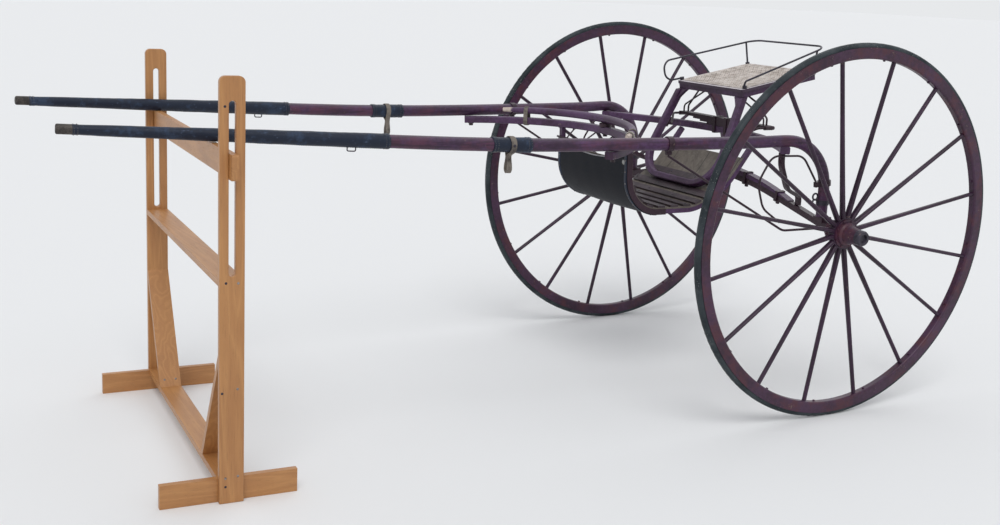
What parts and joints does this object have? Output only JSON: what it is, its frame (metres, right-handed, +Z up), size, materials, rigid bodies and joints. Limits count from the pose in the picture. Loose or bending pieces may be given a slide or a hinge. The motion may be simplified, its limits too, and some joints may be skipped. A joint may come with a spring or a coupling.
{
  "type": "two-wheeled horse cart on a shaft stand",
  "caption": "Light two-wheeled horse cart with a caned seat, slung foot rack and long shafts resting on a slotted wooden stand.",
  "frame": {"origin": "on the floor under the middle of the whole length, between the wheels and the shaft tips", "axes": "+X forward towards the shaft tips, +Y to the cart's left, +Z up"},
  "size_m": [3.4609, 1.7042, 1.4197],
  "materials": {
    "maroon_wood": "satin",
    "maroon_iron": "satin",
    "black_iron": "satin",
    "tyre_rubber": "matte",
    "navy_leather": "satin",
    "tan_leather": "matte",
    "brass_tip": "satin",
    "pale_cane": "matte",
    "pale_wood": "satin",
    "slat_wood": "matte",
    "mat_board": "matte",
    "oak": "satin"
  },
  "bodies": {
    "cart": {"axle": "maroon_iron", "axle_bed": "maroon_wood", "axle_clips": "maroon_iron", "bar_bolts": "maroon_iron", "dash": "navy_leather", "dash_irons": "maroon_iron", "footman_loops": "black_iron", "front_crossbar": "maroon_wood", "leaf_spring": "maroon_iron", "leg_hooks": "maroon_iron", "loop_rods": "maroon_iron", "rack_floor": "mat_board", "rack_rails": "maroon_wood", "rack_slats": "slat_wood", "rear_crossbar": "maroon_wood", "seat_apron": "maroon_wood", "seat_arch": "maroon_iron", "seat_bow": "maroon_wood", "seat_cane": "pale_cane", "seat_frame": "pale_wood", "seat_irons": "maroon_iron", "seat_rail": "maroon_iron", "shaft_clips": "maroon_iron", "shaft_cover_left": "navy_leather", "shaft_cover_right": "navy_leather", "shaft_feet": "maroon_iron", "shaft_knees": "maroon_iron", "shaft_left": "maroon_wood", "shaft_right": "maroon_wood", "shaft_stays": "maroon_iron", "shaft_tip_left": "brass_tip", "shaft_tip_right": "brass_tip", "shaft_wrap_left": "navy_leather", "shaft_wrap_right": "navy_leather", "singletree": "maroon_wood", "spring_clamps": "maroon_iron", "spring_hangers": "maroon_iron", "stand_bar": "oak", "stand_braces": "oak", "stand_foot_left": "oak", "stand_foot_right": "oak", "stand_shelf": "oak", "stand_stretcher": "oak", "stand_upright_left": "oak", "stand_upright_right": "oak", "strap_loops": "tan_leather", "tree_plate": "maroon_iron", "tree_straps": "tan_leather"},
    "wheel_left": {"felloe_left": "maroon_wood", "hub_cap_left": "black_iron", "hub_left": "maroon_iron", "spokes_left": "maroon_wood", "tyre_channel_left": "maroon_iron", "tyre_left": "tyre_rubber"},
    "wheel_right": {"felloe_right": "maroon_wood", "hub_cap_right": "black_iron", "hub_right": "maroon_iron", "spokes_right": "maroon_wood", "tyre_channel_right": "maroon_iron", "tyre_right": "tyre_rubber"}
  },
  "joints": [
    {"name": "wheel_left_spin", "type": "hinge", "parent": "cart", "child": "wheel_left", "pos_m": [-1.02, 0.7715, 0.70989], "axis": [0, 0.9997, -0.0227], "continuous": true},
    {"name": "wheel_right_spin", "type": "hinge", "parent": "cart", "child": "wheel_right", "pos_m": [-1.02, -0.7715, 0.70989], "axis": [0, 0.9997, 0.0227], "continuous": true}
  ]
}
